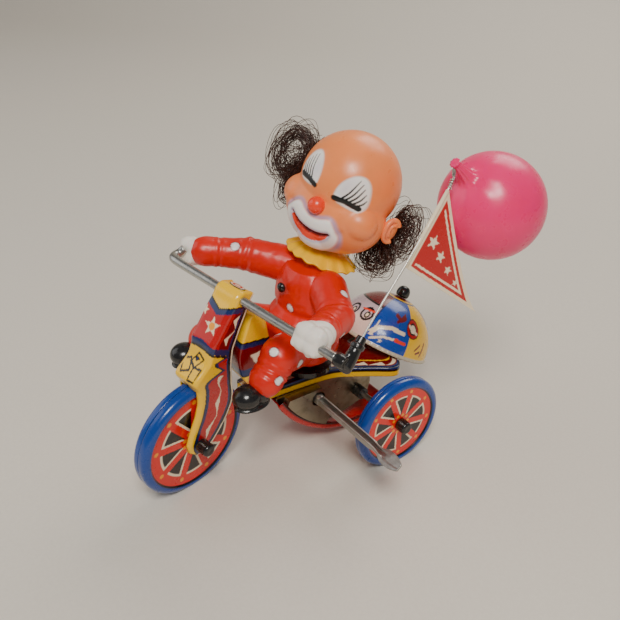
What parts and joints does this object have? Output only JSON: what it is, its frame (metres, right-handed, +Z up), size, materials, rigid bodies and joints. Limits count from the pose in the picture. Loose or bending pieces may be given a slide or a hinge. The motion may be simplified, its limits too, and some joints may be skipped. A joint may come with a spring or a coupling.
{
  "type": "clockwork tricycle toy",
  "caption": "Lithographed tin clockwork tricycle with a vinyl clown rider, side winding key, rear bell, and a pennant and balloon on a handlebar wire.",
  "frame": {"origin": "middle of the footprint, on the surface the wheels stand on", "axes": "+Z up, front wheel towards -Y, rider's left towards +X"},
  "size_m": [0.1304, 0.177, 0.1614],
  "materials": {
    "wheel_lithograph": "gloss printed tin",
    "tyre_blue_tin": "gloss printed tin",
    "fork_lithograph": "gloss printed tin",
    "deck_lithograph": "gloss printed tin",
    "neck_lithograph": "gloss printed tin",
    "guard_red": "gloss printed tin",
    "bell_lithograph": "gloss printed tin",
    "pennant_red": "satin printed tin",
    "badge_cream": "gloss printed tin",
    "steel": "bare",
    "tinplate": "bare",
    "bar_chrome": "polished",
    "black_plastic": "gloss",
    "suit_vinyl": "satin",
    "skin_vinyl": "satin",
    "nose_red": "gloss",
    "glove_vinyl": "satin",
    "collar_yellow": "satin",
    "hair": "matt fibre",
    "balloon_pink": "gloss"
  },
  "bodies": {
    "chassis": {"chassis_deck": "deck_lithograph", "steering_neck": "neck_lithograph", "clockwork_plate_left": "tinplate", "clockwork_plate_right": "tinplate", "plate_pillar_front": "steel", "plate_pillar_rear": "steel", "clockwork_cover": "tinplate", "clockwork_guard": "guard_red", "mainspring": "steel", "axle_bush_left": "black_plastic", "axle_bush_right": "black_plastic", "bell_dome": "bell_lithograph", "bell_bracket": "steel", "bell_nut": "black_plastic", "striker_hinge": "steel", "rider_body": "suit_vinyl", "seat": "black_plastic", "left_leg": "suit_vinyl", "right_leg": "suit_vinyl", "left_shoe": "black_plastic", "right_shoe": "black_plastic", "left_arm": "suit_vinyl", "right_arm": "suit_vinyl", "neck_plug": "glove_vinyl", "collar": "collar_yellow", "coat_button": "black_plastic"},
    "steering": {"fork": "fork_lithograph", "steering_pin": "steel", "crown_badge": "badge_cream", "handlebar": "bar_chrome", "wire_holder": "black_plastic", "balloon_wire": "steel", "pennant": "pennant_red", "balloon": "balloon_pink", "left_hand": "glove_vinyl", "right_hand": "glove_vinyl"},
    "front_wheel": {"front_wheel_left_half": "wheel_lithograph", "front_wheel_right_half": "wheel_lithograph", "front_axle": "steel", "front_left_axle_cap": "black_plastic", "front_right_axle_cap": "black_plastic"},
    "rear_wheels": {"rear_axle": "steel", "rear_left_wheel_outer": "wheel_lithograph", "rear_left_wheel_inner": "tyre_blue_tin", "rear_right_wheel_outer": "wheel_lithograph", "rear_right_wheel_inner": "tyre_blue_tin", "rear_left_hub_cap": "black_plastic", "rear_right_hub_cap": "black_plastic", "axle_gear": "tinplate"},
    "middle_arbor": {"middle_gear": "tinplate"},
    "winding_arbor": {"winding_key": "steel", "spring_gear": "tinplate"},
    "striker": {"bell_striker": "steel"},
    "head": {"head": "skin_vinyl", "nose": "nose_red", "left_ear": "skin_vinyl", "right_ear": "skin_vinyl", "left_hair": "hair", "right_hair": "hair"}
  },
  "joints": [
    {"name": "steer", "type": "hinge", "parent": "chassis", "child": "steering", "pos_m": [-0.01402, -0.05971, 0.0293], "axis": [0, 0.3746, 0.9272], "range_deg": [-25, 8], "deforming": ["left_arm", "right_arm"]},
    {"name": "front_wheel_spin", "type": "hinge", "parent": "steering", "child": "front_wheel", "pos_m": [-0.01402, -0.05971, 0.0293], "axis": [0.9744, 0.2086, -0.0843], "continuous": true},
    {"name": "rear_wheel_spin", "type": "hinge", "parent": "chassis", "child": "rear_wheels", "pos_m": [-0.01402, 0.03159, 0.024], "axis": [1, 0, 0], "continuous": true},
    {"name": "middle_gear_spin", "type": "hinge", "parent": "chassis", "child": "middle_arbor", "pos_m": [-0.01402, 0.01859, 0.0335], "axis": [1, 0, 0], "continuous": true},
    {"name": "winding_key_turn", "type": "hinge", "parent": "chassis", "child": "winding_arbor", "pos_m": [-0.01402, 0.00359, 0.033], "axis": [1, 0, 0], "continuous": true},
    {"name": "striker_swing", "type": "hinge", "parent": "chassis", "child": "striker", "pos_m": [-0.00502, 0.04319, 0.033], "axis": [0, 0, 1], "range_deg": [-5, 3], "stiffness_Nm_per_rad": 0.01},
    {"name": "head_turn", "type": "hinge", "parent": "chassis", "child": "head", "pos_m": [-0.01472, 0.03436, 0.13439], "axis": [0.1058, 0.3629, 0.9258], "range_deg": [-40, 40]}
  ],
  "couplings": [
    {"joint": "middle_gear_spin", "follows": "rear_wheel_spin", "ratio": -0.75},
    {"joint": "winding_key_turn", "follows": "rear_wheel_spin", "ratio": 0.375}
  ]
}
